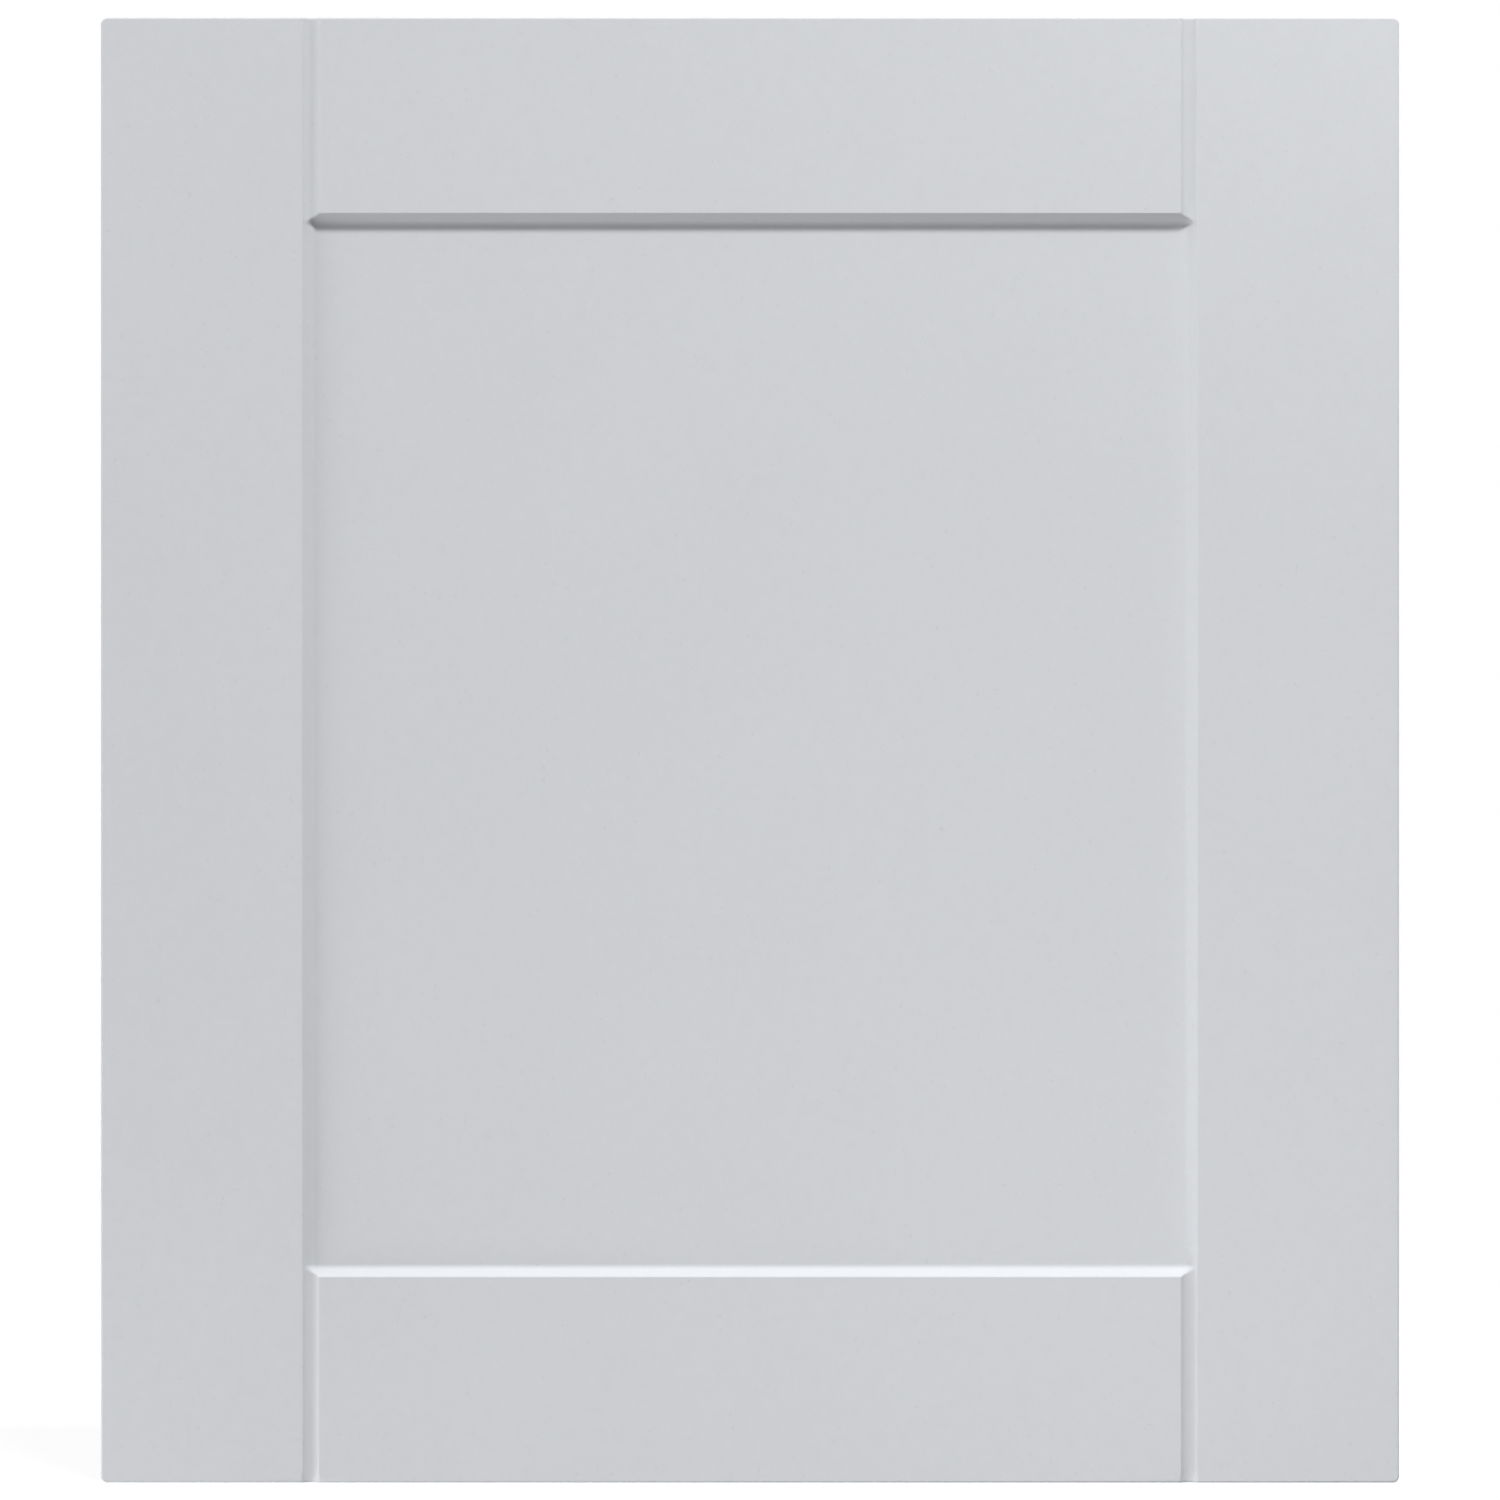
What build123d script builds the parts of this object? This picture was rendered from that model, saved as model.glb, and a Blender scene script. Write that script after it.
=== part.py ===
from build123d import *
import os
from math import cos, radians, sin, tan

# Kitchen cabinet door: one board, routed on the front and wrapped in a smooth film.
# The routing makes it look like a framed door. A centre panel is sunk behind sloping
# walls, and two shallow upright grooves stand for the joints between stiles and rails.
# The back is flat, with borings for two concealed hinges.
#
# Frame, in millimetres: the origin is the centre of the flat back face, X runs
# along the width, Z up the height, and the routed front looks towards -Y.

# Board
door_width = 396.0
door_height = 447.0
board_thickness = 18.0
edge_r = 2.0
back_bevel = 0.4

# Frame pattern on the front, each width from the door's edge to the line of the cut
stile_width = 61.6
top_rail_width = 59.8
bottom_rail_width = 62.8
recess_depth = 2.9
groove_depth = 1.2

# Router cutters for the panel and the grooves: flanks of one slope, each with its own round tip
flank_slope_deg = 45.0
recess_tip_r = 2.2
groove_tip_r = 3.0

# Radius of the film over each line where a cutter leaves the front face
film_r = 0.5

# Hinge borings in the back of the stile that is on the left when seen from the front
cup_boring_d = 35.0
cup_boring_depth = 13.0
cup_to_edge = 5.0
hinge_to_door_end = 100.0
dowel_boring_d = 8.0
dowel_boring_depth = 11.0
dowel_spacing = 45.0
dowel_setback = 9.5

# How far a cutter body stands out past the face or the end that it cuts through
cutter_overrun = 4.0

# Smallest distance that counts when an edge is picked by its place
tolerance = 0.001

# Places worked out from the sizes above
front_y = -board_thickness
left_x = -door_width / 2
right_x = door_width / 2
bottom_z = -door_height / 2
top_z = door_height / 2
flank_slope = radians(flank_slope_deg)


def cut_half_width(depth, tip_r):
    """Half the width of the cut at the face, with the tip of the cutter at this depth."""
    tip_height = tip_r * (1 - cos(flank_slope))
    return tip_r * sin(flank_slope) + (depth - tip_height) / tan(flank_slope)


def half_section(depth, tip_r):
    """Half the cutter's outline: from its axis outwards, with the lowest point at 0, 0."""
    reach = depth + cutter_overrun
    with BuildSketch() as section:
        with BuildLine():
            tip = CenterArc((0, tip_r), tip_r, -90, flank_slope_deg)
            flank = Line(tip @ 1, (cut_half_width(reach, tip_r), reach))
            shank = Line(flank @ 1, (0, reach))
            Line(shank @ 1, tip @ 0)
        make_face()
    return section.sketch


def groove_cutter(stile_line_x, inward):
    """A full-height groove whose outer line is the stile's inner line; inward is 1 or -1."""
    half = half_section(groove_depth, groove_tip_r)
    section = half + mirror(half, about=Plane.YZ)
    axis_x = stile_line_x + inward * cut_half_width(groove_depth, groove_tip_r)
    start = Plane(
        origin=(axis_x, front_y + groove_depth, top_z + cutter_overrun),
        x_dir=(1, 0, 0),
        z_dir=(0, 0, -1),
    )
    return extrude(start * section, door_height + 2 * cutter_overrun)


def recess_cutter():
    """The sunk panel: the cutter driven round it, and everything inside cleared level."""
    inset = cut_half_width(recess_depth, recess_tip_r)
    left = left_x + stile_width + inset
    right = right_x - stile_width - inset
    bottom = bottom_z + bottom_rail_width + inset
    top = top_z - top_rail_width - inset
    middle_x = (left + right) / 2
    middle_z = (bottom + top) / 2
    floor_y = front_y + recess_depth
    path = Polyline(
        (right, floor_y, middle_z),
        (right, floor_y, bottom),
        (left, floor_y, bottom),
        (left, floor_y, top),
        (right, floor_y, top),
        (right, floor_y, middle_z),
    )
    start = Plane(origin=path @ 0, x_dir=(1, 0, 0), z_dir=(0, 0, -1))
    section = start * half_section(recess_depth, recess_tip_r)
    walls = sweep(section, path=path, transition=Transition.ROUND)
    height = recess_depth + cutter_overrun
    clearing = Box(right - left, height, top - bottom)
    return walls + Pos(middle_x, floor_y - height / 2, middle_z) * clearing


def is_cut_line(edge):
    """True for the straight lines that the cutters leave in the front face."""
    middle = edge.center()
    in_front = abs(middle.Y - front_y) < tolerance
    across = abs(middle.X) < right_x - tolerance
    upright = abs(middle.Z) < top_z - tolerance
    return in_front and across and upright


def routed_board():
    """The square board with the panel and grooves cut, and the film's radius on every cut line."""
    board = Pos(0, front_y / 2, 0) * Box(door_width, board_thickness, door_height)
    board -= groove_cutter(left_x + stile_width, 1)
    board -= groove_cutter(right_x - stile_width, -1)
    board -= recess_cutter()
    return fillet(board.edges().filter_by(is_cut_line), film_r)


def rounded_envelope():
    """The door's outer form: round at its corners and front edges, finely bevelled at the back."""
    envelope = Pos(0, front_y / 2, 0) * Box(door_width, board_thickness, door_height)
    corners = envelope.edges().filter_by(Axis.Y)
    front_rim = envelope.faces().sort_by(Axis.Y)[0].edges()
    envelope = fillet(corners + front_rim, edge_r)
    back_rim = envelope.faces().sort_by(Axis.Y)[-1].edges()
    return chamfer(back_rim, back_bevel)


def boring(diameter, depth, x, z):
    """A blind round hole from the back face, square to it."""
    return Pos(x, -depth / 2, z) * Rot(X=90) * Cylinder(diameter / 2, depth)


def hinge_borings():
    """For each hinge, a cup boring and two dowel holes set back from it."""
    cup_x = left_x + cup_to_edge + cup_boring_d / 2
    dowel_x = cup_x + dowel_setback
    borings = []
    for hinge_z in (bottom_z + hinge_to_door_end, top_z - hinge_to_door_end):
        borings.append(boring(cup_boring_d, cup_boring_depth, cup_x, hinge_z))
        for side in (-1, 1):
            dowel_z = hinge_z + side * dowel_spacing / 2
            borings.append(boring(dowel_boring_d, dowel_boring_depth, dowel_x, dowel_z))
    return borings


door_leaf = (routed_board() & rounded_envelope()) - hinge_borings()

os.makedirs("parts", exist_ok=True)
export_step(door_leaf, "parts/door_leaf.step")
print("door_leaf", "valid" if door_leaf.is_valid else "not valid", len(door_leaf.faces()), "faces")
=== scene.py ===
from math import cos, pi, radians, sin, tan

import bpy
import numpy as np
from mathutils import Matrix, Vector
from mathutils.geometry import delaunay_2d_cdt


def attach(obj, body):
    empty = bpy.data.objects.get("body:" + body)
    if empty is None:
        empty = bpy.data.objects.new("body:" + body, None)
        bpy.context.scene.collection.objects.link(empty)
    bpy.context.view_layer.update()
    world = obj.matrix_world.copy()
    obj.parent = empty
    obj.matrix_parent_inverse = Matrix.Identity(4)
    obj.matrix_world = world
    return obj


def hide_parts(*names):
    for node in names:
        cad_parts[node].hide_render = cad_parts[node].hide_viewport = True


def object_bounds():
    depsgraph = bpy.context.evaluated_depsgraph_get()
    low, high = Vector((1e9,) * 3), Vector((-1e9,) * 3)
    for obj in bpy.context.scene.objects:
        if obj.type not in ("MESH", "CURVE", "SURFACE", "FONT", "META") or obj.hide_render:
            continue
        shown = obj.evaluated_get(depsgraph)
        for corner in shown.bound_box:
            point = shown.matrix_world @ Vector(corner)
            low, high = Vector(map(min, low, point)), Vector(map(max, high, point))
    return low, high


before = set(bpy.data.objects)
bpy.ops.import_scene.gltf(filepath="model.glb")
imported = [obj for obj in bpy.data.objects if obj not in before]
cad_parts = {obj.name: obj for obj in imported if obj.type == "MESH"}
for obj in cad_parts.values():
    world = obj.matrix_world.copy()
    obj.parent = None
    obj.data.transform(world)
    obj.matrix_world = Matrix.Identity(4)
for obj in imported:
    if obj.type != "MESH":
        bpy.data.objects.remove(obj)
cad_low, cad_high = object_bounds()

# The skin's sizes are in millimetres, and its mesh is made in metres.
MM = 0.001
HALF_W = cad_high.x / MM
HALF_H = cad_high.z / MM
THICK = -cad_low.y / MM
CORNER_R = 2.0
RIM_R = 0.6
BACK_BEVEL = 0.4

# Pattern on the front, measured from the door's edges to the lines of the cut
STILE = 61.6
TOP_RAIL = 59.8
BOTTOM_RAIL = 62.8
RECESS_DEPTH = 2.9
GROOVE_DEPTH = 1.2
FLANK_SLOPE = radians(45)
RECESS_TIP_R = 2.2
GROOVE_TIP_R = 3.0

# How widely the film rounds over a line: on the face, where two cuts meet, and at the groove's ends
SOFT_FACE = 0.157
SOFT_RIDGE = 0.3
SOFT_END = 0.7

# The rounding changes to that of the grooves' ends between these distances from the door's end
END_FROM = 3.0
END_FULL = 1.0

# Borings in the back
CUP_R = 17.5
CUP_DEPTH = 13.0
CUP_X = -HALF_W + 5.0 + CUP_R
DOWEL_R = 4.0
DOWEL_DEPTH = 11.0
DOWEL_X = CUP_X + 9.5
DOWEL_REACH = 22.5
HINGE_TO_END = 100.0
CUP_SIDES = 96
DOWEL_SIDES = 40

# Each boring's broken mouth, the round at its foot, and the mark of the drill's point
MOUTH_BREAK = 0.25
FOOT_ROUND = 0.3
POINT_R = 1.6
POINT_TIP_R = 0.4
POINT_DEPTH = 0.9


def cut_half_width(depth, tip_r):
    """Half the width of the cut at the face, with the tip of the cutter at this depth."""
    return (tip_r + (depth - tip_r) * cos(FLANK_SLOPE)) / sin(FLANK_SLOPE)


GROOVE_HALF = cut_half_width(GROOVE_DEPTH, GROOVE_TIP_R)
GROOVE_X = HALF_W - STILE - GROOVE_HALF
RECESS_INSET = cut_half_width(RECESS_DEPTH, RECESS_TIP_R)
PATH_X = HALF_W - STILE - RECESS_INSET
PATH_TOP = HALF_H - TOP_RAIL - RECESS_INSET
PATH_BOTTOM = -HALF_H + BOTTOM_RAIL + RECESS_INSET


def cutter_distance(aside, height, depth, tip_r):
    """Distance to a round-tipped cutter from points aside of its axis and above the door's face."""
    height = height + depth - tip_r
    flank = aside * sin(FLANK_SLOPE) - height * cos(FLANK_SLOPE)
    along = aside * cos(FLANK_SLOPE) + height * sin(FLANK_SLOPE)
    return np.where(along > 0, flank, np.hypot(aside, height)) - tip_r


def rounded(past, radius):
    """Distance to a corner of this radius, from how far points lie past each of its two sides."""
    inner = past + radius
    return np.linalg.norm(np.maximum(inner, 0), axis=1) + np.minimum(inner.max(axis=1), 0) - radius


def soft_max(a, b, width):
    """The larger of two distances, blended where they are closer than the width."""
    near = np.maximum(width - np.abs(a - b), 0) / width
    return np.maximum(a, b) + near * near * width / 4


def door_distance(p):
    """Distance to the routed board, below 0 inside it. Columns: x, from the back forwards, z."""
    side = rounded(np.abs(p[:, [0, 2]]) - [HALF_W, HALF_H], CORNER_R)
    height = p[:, 1] - THICK
    board = rounded(np.stack([side, height], 1), RIM_R)
    from_groove = np.abs(np.abs(p[:, 0]) - GROOVE_X)
    groove = cutter_distance(from_groove, height, GROOVE_DEPTH, GROOVE_TIP_R)
    middle, reach = (PATH_TOP + PATH_BOTTOM) / 2, (PATH_TOP - PATH_BOTTOM) / 2
    beyond = np.maximum(np.abs(p[:, [0, 2]] - [0, middle]) - [PATH_X, reach], 0)
    from_path = np.hypot(beyond[:, 0], beyond[:, 1])
    recess = cutter_distance(from_path, height, RECESS_DEPTH, RECESS_TIP_R)
    cuts = soft_max(-groove, -recess, SOFT_RIDGE)
    from_end = HALF_H - np.abs(p[:, 2])
    to_end = np.clip((END_FROM - from_end) / (END_FROM - END_FULL), 0, 1)
    return soft_max(board, cuts, SOFT_FACE + (SOFT_END - SOFT_FACE) * to_end)


def outward(p):
    """Unit normals of the door's surface at these points."""
    step = 0.002
    slope = [
        door_distance(p + step * axis) - door_distance(p - step * axis) for axis in np.eye(3)
    ]
    slope = np.array(slope).T
    return slope / np.linalg.norm(slope, axis=1)[:, None]


# The skin is a block of points, one layer deep, that is drawn onto the door's surface along
# straight rays. Each ray starts on an inner block that lies this far inside the front and rim.
CORE = 6.5
HALVINGS = 48
RIM_ANGLES = [0, 12, 22, 30, 33, *np.arange(34.5, 40, 1.5), *np.arange(40.5, 45.1, 0.75)]


def rim_steps(angles):
    """Where the rays that fan out round the rim cross the block's face."""
    return [CORE * tan(radians(a)) for a in angles]


def spread(low, high, step):
    """Evenly spaced places from low to high, no further apart than the step."""
    return list(np.linspace(low, high, int((high - low) / step) + 2))


def grid_lines(half, low_band, high_band, between):
    """Places of the grid's lines from edge to edge, dense in the rim and in the given bands."""
    rim = rim_steps(RIM_ANGLES)
    inner = half - CORE
    lines = [*(-inner - s for s in rim), *(inner + s for s in rim)]
    lines += spread(*low_band) + spread(*high_band) + between
    return np.unique(np.round(lines, 5))


# Fine lines across each cut, starting this far outside it, and coarse ones on the flat faces
FINE_STEP = 0.13
MARGIN = 0.8
COARSE_X = [-175.0, -155.0, -110.0, -70.0, -35.0, 0.0, 35.0, 70.0, 110.0, 155.0, 175.0]
COARSE_Z = [-200.0, -180.0, -130.0, -90.0, -45.0, 0.0, 45.0, 90.0, 130.0, 180.0, 200.0]

stile_line = HALF_W - STILE
top_line = HALF_H - TOP_RAIL
bottom_line = -HALF_H + BOTTOM_RAIL
wall_band = RECESS_INSET + MARGIN
groove_band = 2 * GROOVE_HALF + MARGIN
X_LINES = grid_lines(
    HALF_W,
    (-(stile_line + MARGIN), -(stile_line - groove_band), FINE_STEP),
    (stile_line - groove_band, stile_line + MARGIN, FINE_STEP),
    COARSE_X,
)
Z_LINES = grid_lines(
    HALF_H,
    (bottom_line - MARGIN, bottom_line + wall_band, FINE_STEP),
    (top_line - wall_band, top_line + MARGIN, FINE_STEP),
    COARSE_Z,
)
rim_depths = [THICK - CORE + s for s in rim_steps(RIM_ANGLES)]
Y_LINES = np.unique(np.round([BACK_BEVEL, 4.0, 8.0, *rim_depths, THICK], 5))


def grid_block():
    """The block's points, its quads on the front and the four sides, and its rim at the back."""
    index, points, quads = {}, [], []
    last_x, last_y, last_z = len(X_LINES) - 1, len(Y_LINES) - 1, len(Z_LINES) - 1

    def at(i, j, k):
        if (i, j, k) not in index:
            index[i, j, k] = len(points)
            points.append((X_LINES[i], Y_LINES[j], Z_LINES[k]))
        return index[i, j, k]

    def add_quad(*corners):
        quads.append([at(*corner) for corner in corners])

    for i in range(last_x):
        for k in range(last_z):
            j = last_y
            add_quad((i, j, k), (i + 1, j, k), (i + 1, j, k + 1), (i, j, k + 1))
    for j in range(last_y):
        for i in range(last_x):
            k = last_z
            add_quad((i, j, 0), (i + 1, j, 0), (i + 1, j + 1, 0), (i, j + 1, 0))
            add_quad((i, j, k), (i, j + 1, k), (i + 1, j + 1, k), (i + 1, j, k))
        for k in range(last_z):
            i = last_x
            add_quad((0, j, k), (0, j + 1, k), (0, j + 1, k + 1), (0, j, k + 1))
            add_quad((i, j, k), (i, j, k + 1), (i, j + 1, k + 1), (i, j + 1, k))
    rim = [at(i, 0, 0) for i in range(last_x)]
    rim += [at(last_x, 0, k) for k in range(last_z)]
    rim += [at(i, 0, last_z) for i in range(last_x, 0, -1)]
    rim += [at(0, 0, k) for k in range(last_z, 0, -1)]
    return np.array(points), quads, rim


def drawn_on(points):
    """The block's points moved along their rays to the door's surface."""
    core = np.array([HALF_W - CORE, THICK - CORE, HALF_H - CORE])
    start = np.clip(points, -core, core)
    ray = points - start
    ray /= np.linalg.norm(ray, axis=1)[:, None]
    near, far = np.zeros(len(points)), np.full(len(points), 2 * CORE)
    for _ in range(HALVINGS):
        middle = (near + far) / 2
        outside = door_distance(start + ray * middle[:, None]) > 0
        far = np.where(outside, middle, far)
        near = np.where(outside, near, middle)
    return start + ray * ((near + far) / 2)[:, None]


class Shell:
    """Points, faces with a finish each, and one normal for each corner of each face."""

    def __init__(self):
        self.points, self.faces, self.finish, self.normals = [], [], [], []

    def add_points(self, points):
        first = len(self.points)
        self.points += [tuple(p) for p in points]
        return list(range(first, first + len(points)))

    def add_face(self, corners, normals, finish):
        self.faces.append(corners)
        self.normals += [tuple(n) for n in normals]
        self.finish.append(finish)

    def add_band(self, first, second, normals, finish):
        """Quads between two closed rings; one normal for each place round them."""
        for a in range(len(first)):
            b = (a + 1) % len(first)
            self.add_face(
                [first[a], second[a], second[b], first[b]],
                [normals[a], normals[a], normals[b], normals[b]],
                finish,
            )


FILM, FACING, FIBRE = 0, 1, 2
BACK = (0.0, -1.0, 0.0)


def add_boring(shell, x, z, radius, depth, sides):
    """A round blind hole with a broken mouth, a flat floor and the mark of the drill's point."""
    turn = np.linspace(0, 2 * pi, sides, endpoint=False)
    round_x, round_z = np.cos(turn), np.sin(turn)
    profile = [
        (radius + MOUTH_BREAK, 0.0),
        (radius, MOUTH_BREAK),
        (radius, depth - FOOT_ROUND),
        (radius - FOOT_ROUND, depth),
        (POINT_R, depth),
        (POINT_TIP_R, depth + POINT_DEPTH),
    ]
    rings = []
    for r, y in profile:
        ring = np.stack([x + r * round_x, np.full(sides, y), z + r * round_z], 1)
        rings.append(shell.add_points(ring))
    for (r0, y0), (r1, y1), first, second in zip(profile, profile[1:], rings, rings[1:]):
        length = np.hypot(r1 - r0, y1 - y0)
        inwards, back = (y1 - y0) / length, (r1 - r0) / length
        normals = np.stack([-inwards * round_x, np.full(sides, back), -inwards * round_z], 1)
        shell.add_band(first, second, normals, FIBRE)
    shell.add_face(rings[-1][::-1], [BACK] * sides, FIBRE)
    return rings[0]


def build_skin():
    """One closed mesh: film over the front and sides, white facing on the back, raw borings."""
    shell = Shell()
    block, quads, rim = grid_block()
    surface = drawn_on(block)
    normals = outward(surface)
    shell.add_points(surface)
    for quad in quads:
        shell.add_face(quad, normals[quad], FILM)

    side = surface[rim]
    side_normals = normals[rim] * [1, 0, 1]
    side_normals /= np.linalg.norm(side_normals, axis=1)[:, None]
    outline = side - BACK_BEVEL * side_normals
    outline[:, 1] = 0
    outline_ring = shell.add_points(outline)
    bevel_normals = (side_normals + BACK) / np.sqrt(2)
    shell.add_band(rim, outline_ring, bevel_normals, FILM)

    loops = [outline_ring]
    for hinge_z in (-HALF_H + HINGE_TO_END, HALF_H - HINGE_TO_END):
        loops.append(add_boring(shell, CUP_X, hinge_z, CUP_R, CUP_DEPTH, CUP_SIDES))
        for end in (-1, 1):
            dowel_z = hinge_z + end * DOWEL_REACH
            loops.append(add_boring(shell, DOWEL_X, dowel_z, DOWEL_R, DOWEL_DEPTH, DOWEL_SIDES))
    add_back(shell, loops)
    return shell


def add_back(shell, loops):
    """The flat back between its outline and the mouths of the borings."""
    members = [v for loop in loops for v in loop]
    place = {v: n for n, v in enumerate(members)}
    edges = [(place[a], place[b]) for loop in loops for a, b in zip(loop, loop[1:] + loop[:1])]
    flat = [Vector((shell.points[v][0], shell.points[v][2])) for v in members]
    inside_edges, closeness = 1, 1e-5
    made = delaunay_2d_cdt(flat, edges, [], inside_edges, closeness)
    spots, _, triangles, origins, _, _ = made
    mouths = [np.array([shell.points[v] for v in loop])[:, [0, 2]] for loop in loops[1:]]
    holes = [(m.mean(axis=0), np.ptp(m[:, 0]) / 2) for m in mouths]
    for triangle in triangles:
        centre = np.mean([spots[t] for t in triangle], axis=0)
        if any(np.hypot(*(centre - middle)) < radius - 0.001 for middle, radius in holes):
            continue
        corners = [members[origins[t][0]] for t in triangle]
        shell.add_face(corners[::-1], [BACK] * 3, FACING)


def mesh_object(name, shell, materials):
    """The shell as a mesh object, in metres, with the front looking towards -Y."""
    to_frame = np.array([MM, -MM, MM])
    mesh = bpy.data.meshes.new(name)
    mesh.from_pydata((np.array(shell.points) * to_frame).tolist(), [], shell.faces)
    mesh.polygons.foreach_set("material_index", shell.finish)
    mesh.polygons.foreach_set("use_smooth", [True] * len(shell.faces))
    for material in materials:
        mesh.materials.append(material)
    normals = np.array(shell.normals) * [1, -1, 1]
    mesh.normals_split_custom_set(normals.tolist())
    mesh.validate()
    mesh.update()
    made = bpy.data.objects.new(name, mesh)
    bpy.context.scene.collection.objects.link(made)
    return made


class Nodes:
    """Short hand for a node tree: make nodes, set their sockets and link them."""

    def __init__(self, owner):
        owner.use_nodes = True
        self.tree = owner.node_tree
        self.tree.nodes.clear()

    def put(self, socket, value):
        """Set a socket to a value, or link it to another node's output."""
        if isinstance(value, bpy.types.NodeSocket):
            self.tree.links.new(value, socket)
        else:
            socket.default_value = value

    def make(self, kind, sockets=None, **settings):
        node = self.tree.nodes.new(kind)
        for name, value in settings.items():
            setattr(node, name, value)
        for name, value in (sockets or {}).items():
            self.put(node.inputs[name], value)
        return node

    def noise(self, where, scale, detail=2.0, roughness=0.5):
        made = self.make(
            "ShaderNodeTexNoise",
            {"Vector": where, "Scale": scale, "Detail": detail, "Roughness": roughness},
        )
        return made.outputs["Fac"]

    def range(self, value, low, high, start=0.0, end=1.0):
        made = self.make(
            "ShaderNodeMapRange",
            {"Value": value, "From Min": start, "From Max": end, "To Min": low, "To Max": high},
        )
        return made.outputs["Result"]

    def math(self, operation, a, b):
        made = self.make("ShaderNodeMath", {0: a, 1: b}, operation=operation)
        return made.outputs[0]

    def mix(self, share, a, b):
        made = self.make("ShaderNodeMix", data_type="RGBA")
        for place, value in ((0, share), (6, a), (7, b)):
            self.put(made.inputs[place], value)
        return made.outputs[2]

    def bump(self, height, depth, normal=None):
        """Bump of this real depth, in metres, from a height between 0 and 1."""
        sockets = {"Height": height, "Distance": depth, "Strength": 1.0}
        if normal:
            sockets["Normal"] = normal
        return self.make("ShaderNodeBump", sockets).outputs["Normal"]

    def finish(self, shader):
        self.make("ShaderNodeOutputMaterial", {"Surface": shader})


def film_material():
    """Satin film, pale cool grey-white: soft orange peel, fine grain, faint clouds and flecks."""
    material = bpy.data.materials.new("wrapped_film")
    n = Nodes(material)
    where = n.make("ShaderNodeTexCoord").outputs["Object"]
    cloud = n.noise(where, 18, 3, 0.55)
    mottle = n.noise(where, 260, 2, 0.5)
    grain = n.noise(where, 1300, 2, 0.6)
    peel = n.noise(where, 420, 2, 0.5)
    patchy = n.math("ADD", n.range(cloud, 0.0, 0.28), n.range(mottle, 0.0, 0.34))
    tone = n.math("ADD", patchy, n.range(grain, 0.0, 0.38))
    plain = n.mix(tone, (0.572, 0.585, 0.608, 1), (0.650, 0.665, 0.690, 1))
    fleck = n.range(n.noise(where, 640, 1, 0.5), 0.0, 0.42, 0.715, 0.79)
    colour = n.mix(fleck, plain, (0.52, 0.53, 0.55, 1))
    roughness = n.math("ADD", n.range(cloud, 0.34, 0.44), n.range(peel, -0.03, 0.05))
    normal = n.bump(peel, 0.000012)
    normal = n.bump(grain, 0.000006, normal)
    shader = n.make(
        "ShaderNodeBsdfPrincipled",
        {"Base Color": colour, "Roughness": roughness, "Normal": normal, "IOR": 1.46},
    )
    n.finish(shader.outputs[0])
    return material


def facing_material():
    """White melamine facing of the back, with a fine pearl texture."""
    material = bpy.data.materials.new("back_facing")
    n = Nodes(material)
    where = n.make("ShaderNodeTexCoord").outputs["Object"]
    cloud = n.noise(where, 25, 3, 0.5)
    pearl = n.make("ShaderNodeTexVoronoi", {"Vector": where, "Scale": 900}).outputs["Distance"]
    colour = n.mix(cloud, (0.74, 0.74, 0.73, 1), (0.79, 0.79, 0.78, 1))
    roughness = n.range(cloud, 0.42, 0.52)
    shader = n.make(
        "ShaderNodeBsdfPrincipled",
        {"Base Color": colour, "Roughness": roughness, "Normal": n.bump(pearl, 0.00002)},
    )
    n.finish(shader.outputs[0])
    return material


def fibre_material():
    """Raw fibreboard as a drill leaves it: tan, matt, with fibres and dark flecks."""
    material = bpy.data.materials.new("raw_fibreboard")
    n = Nodes(material)
    where = n.make("ShaderNodeTexCoord").outputs["Object"]
    stretch = n.make("ShaderNodeMapping", {"Vector": where, "Scale": (1.0, 2.6, 1.0)}).outputs[0]
    fibres = n.noise(stretch, 900, 5, 0.65)
    flecks = n.noise(stretch, 2600, 2, 0.5)
    base = n.mix(n.range(fibres, 0, 1, 0.3, 0.7), (0.33, 0.22, 0.13, 1), (0.53, 0.39, 0.25, 1))
    colour = n.mix(n.range(flecks, 0.0, 0.8, 0.62, 0.74), base, (0.16, 0.10, 0.06, 1))
    roughness = n.range(fibres, 0.82, 0.95)
    shader = n.make(
        "ShaderNodeBsdfPrincipled",
        {"Base Color": colour, "Roughness": roughness, "Normal": n.bump(fibres, 0.00012)},
    )
    n.finish(shader.outputs[0])
    return material


finishes = [film_material(), facing_material(), fibre_material()]
skin = mesh_object("door_skin", build_skin(), finishes)
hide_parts("door_leaf")
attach(skin, "root")


def looked_at(n):
    """1 for rays that look at or mirror the background, and 0 for those that only carry light."""
    path = n.make("ShaderNodeLightPath").outputs
    seen = n.math("MAXIMUM", path["Is Camera Ray"], path["Is Glossy Ray"])
    return n.math("MAXIMUM", seen, path["Is Transmission Ray"])


def floor_material():
    """Pale floor: it shows white, darkened only where the door shades it."""
    material = bpy.data.materials.new("pale_floor")
    n = Nodes(material)
    where = n.make("ShaderNodeTexCoord").outputs["Object"]
    mottle = n.noise(where, 6, 2, 0.5)
    matt = n.mix(mottle, (0.11, 0.11, 0.11, 1), (0.13, 0.13, 0.13, 1))
    shaded = n.make("ShaderNodeBsdfDiffuse", {"Color": matt})
    level = n.range(looked_at(n), 0.0, 0.90)
    glow = n.make("ShaderNodeEmission", {"Color": (1, 1, 1, 1), "Strength": level})
    shown = n.make("ShaderNodeAddShader", {0: shaded.outputs[0], 1: glow.outputs[0]})
    n.finish(shown.outputs[0])
    return material


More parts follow.
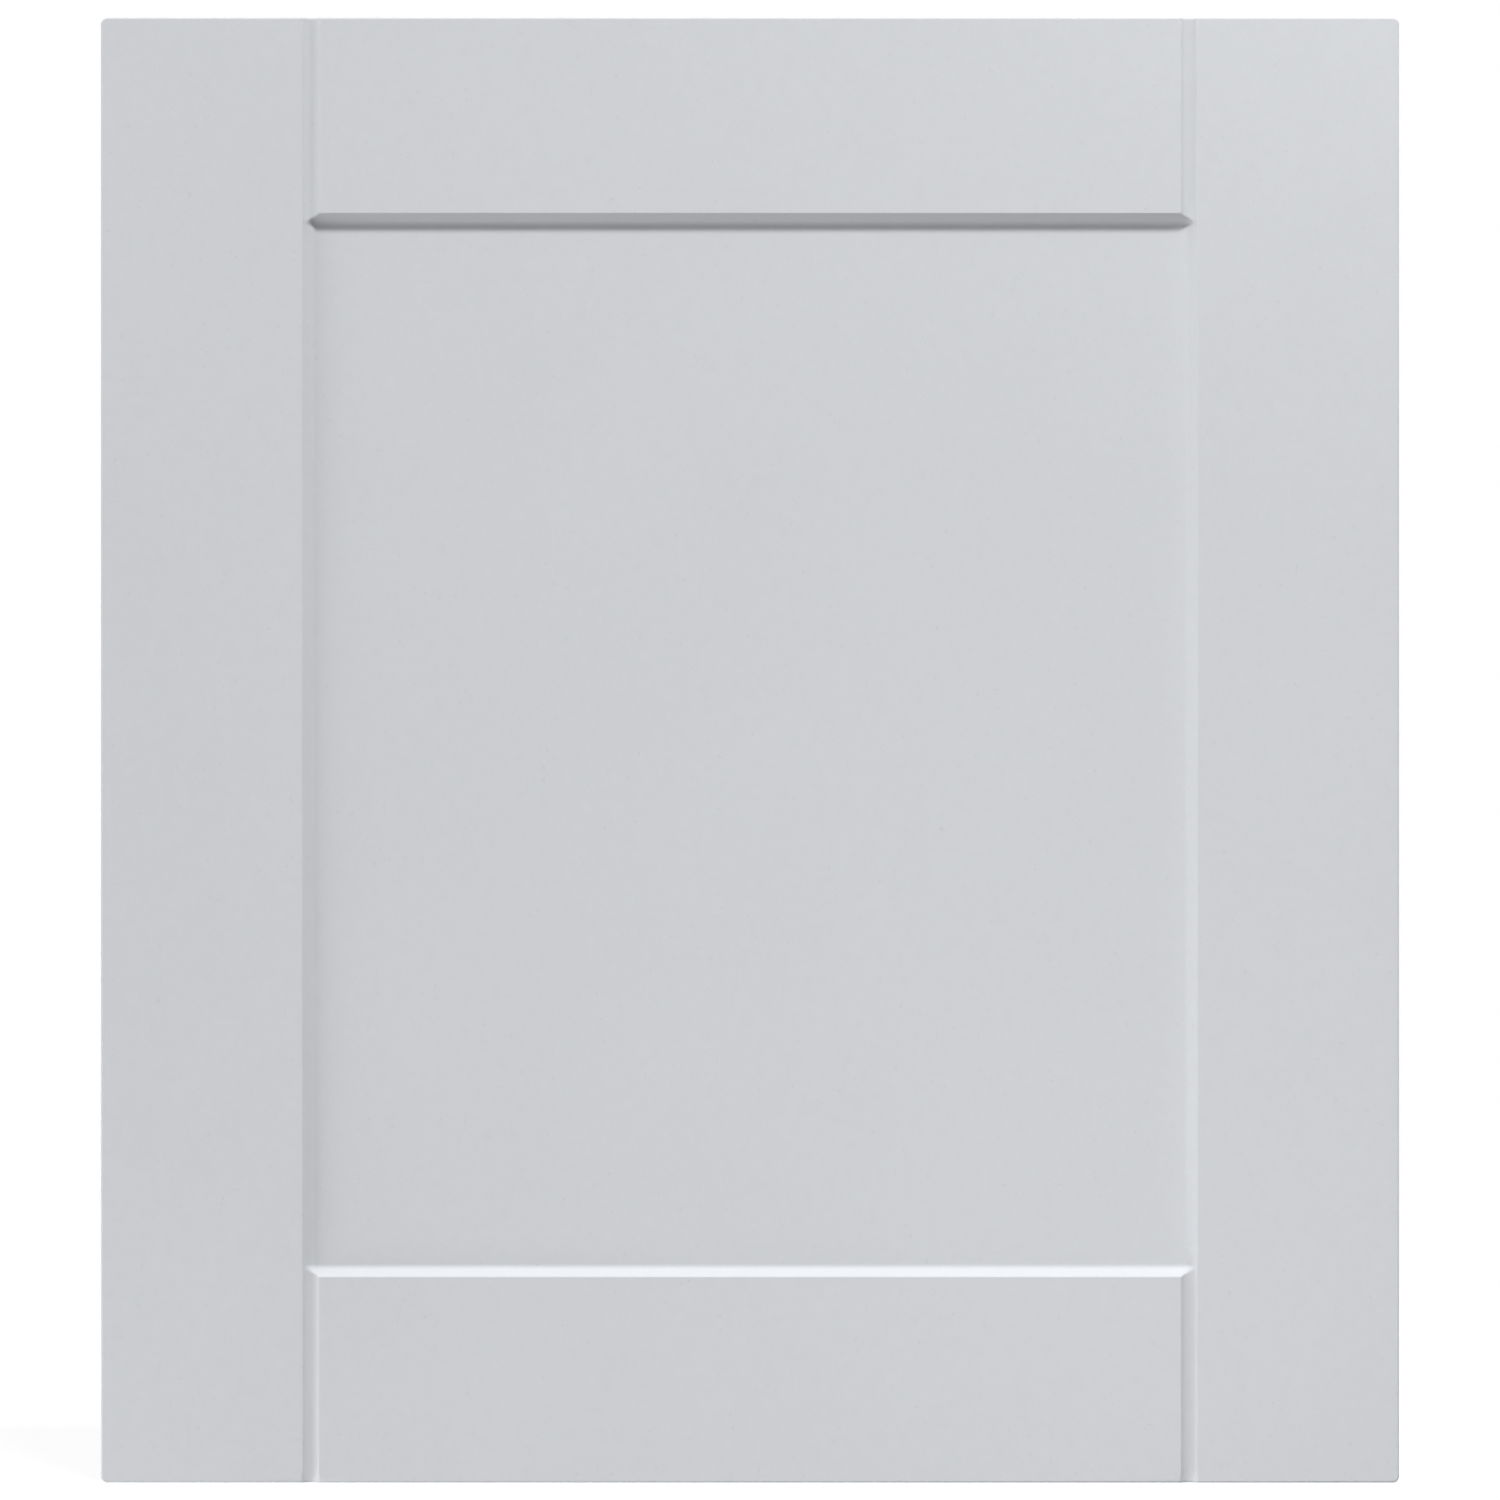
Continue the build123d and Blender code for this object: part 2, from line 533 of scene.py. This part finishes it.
def add_floor():
    """A round floor under the door. It takes the door's shadow and sends no light back."""
    reach = 1.1
    sides = 96
    level = cad_low.z
    turn = np.linspace(0, 2 * pi, sides, endpoint=False)
    rim = [(reach * cos(a), reach * sin(a), level) for a in turn]
    mesh = bpy.data.meshes.new("floor")
    mesh.from_pydata(rim, [], [list(range(sides))])
    mesh.materials.append(floor_material())
    floor = bpy.data.objects.new("floor", mesh)
    floor.visible_diffuse = False
    floor.visible_shadow = False
    bpy.context.scene.collection.objects.link(floor)


def add_world(strength):
    """Even light from all round, and a white background to look at."""
    world = bpy.data.worlds.new("studio")
    bpy.context.scene.world = world
    n = Nodes(world)
    level = n.range(looked_at(n), strength, 1.0)
    background = n.make("ShaderNodeBackground", {"Color": (1, 1, 1, 1), "Strength": level})
    n.make("ShaderNodeOutputWorld", {"Surface": background.outputs[0]})


def add_lamp(name, upward, rightward, distance, size, power):
    """A round soft box aimed at the door, at these angles from straight in front of it."""
    light = bpy.data.lights.new(name, "AREA")
    light.shape = "DISK"
    light.size = size
    light.energy = power
    up, right = radians(upward), radians(rightward)
    aim = Vector((0, cad_low.y, 0))
    towards = Vector((cos(up) * sin(right), -cos(up) * cos(right), sin(up)))
    lamp = bpy.data.objects.new(name, light)
    lamp.location = aim + distance * towards
    lamp.rotation_euler = (-towards).to_track_quat("-Z", "Y").to_euler()
    lamp.visible_camera = False
    lamp.visible_glossy = False
    bpy.context.scene.collection.objects.link(lamp)


def add_camera():
    """Straight in front of the door, far off, framing it as the photograph does."""
    distance = 3.0
    framed = 0.4575
    camera = bpy.data.cameras.new("camera")
    camera.lens = camera.sensor_width * distance / framed
    camera.clip_end = 50.0
    viewer = bpy.data.objects.new("camera", camera)
    viewer.location = (0.0, cad_low.y - distance, (cad_low.z + cad_high.z) / 2)
    viewer.rotation_euler = (pi / 2, 0, 0)
    bpy.context.scene.collection.objects.link(viewer)
    bpy.context.scene.camera = viewer


# Each lamp's degrees upward and to the right of straight ahead, its distance and width in
# metres, and its watts. The first six light the front, and the others the sides and the back.
LAMPS = [
    ("key", 62.7, 10.7, 3.02, 0.40, 90.8),
    ("wide_left", 36.8, -69.3, 4.15, 2.56, 47.1),
    ("low_front", -24.2, 20.3, 0.56, 0.29, 0.71),
    ("low_left", -44.8, -78.6, 0.92, 0.55, 5.25),
    ("upper_right", 50.6, 60.3, 0.71, 0.12, 0.80),
    ("upper_left", 30.0, -82.0, 0.60, 0.20, 0.26),
    ("side_right", 0.0, 102.0, 2.5, 0.8, 12.5),
    ("under", -78.0, 180.0, 1.5, 0.5, 4.5),
    ("back_right", 2.0, 140.0, 3.0, 1.2, 48.0),
    ("back_left", 8.0, -150.0, 3.0, 1.2, 38.0),
]

add_floor()
add_world(0.11)
for lamp in LAMPS:
    add_lamp(*lamp)
add_camera()
bpy.context.scene.view_settings.view_transform = "Standard"
